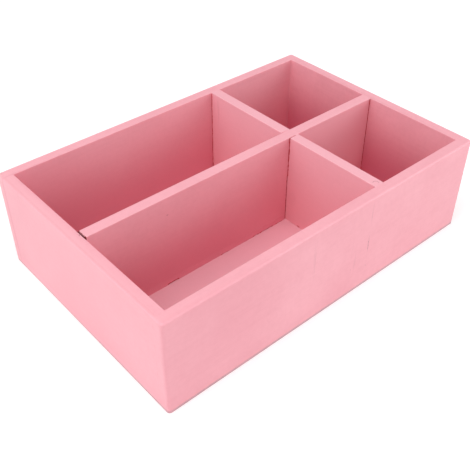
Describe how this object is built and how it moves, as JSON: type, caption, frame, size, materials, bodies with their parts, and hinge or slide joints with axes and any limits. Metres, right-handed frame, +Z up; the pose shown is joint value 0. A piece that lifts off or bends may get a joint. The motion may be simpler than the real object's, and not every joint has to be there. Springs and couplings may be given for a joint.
{
  "type": "coffee station organizer",
  "caption": "Low open wooden countertop box, painted pink, with a full-length divider and a cross divider halved together into long and square cells.",
  "frame": {"origin": "middle of the underside, where the box rests", "axes": "+X along the length to the right, towards the two square cells; -Y faces the front; +Z up"},
  "size_m": [0.3, 0.2, 0.082],
  "materials": {
    "front_board": "satin pink paint",
    "back_board": "satin pink paint",
    "left_end_board": "satin pink paint",
    "right_end_board": "satin pink paint",
    "bottom_panel": "satin pink paint",
    "long_divider": "satin pink paint",
    "cross_divider": "satin pink paint",
    "brads": "bright"
  },
  "bodies": {
    "root": {"front_board": "front_board", "back_board": "back_board", "left_end_board": "left_end_board", "right_end_board": "right_end_board", "bottom_panel": "bottom_panel", "long_divider": "long_divider", "cross_divider": "cross_divider", "front_brads": "brads", "back_brads": "brads", "left_end_brads": "brads", "right_end_brads": "brads", "bottom_brads": "brads"}
  },
  "joints": []
}
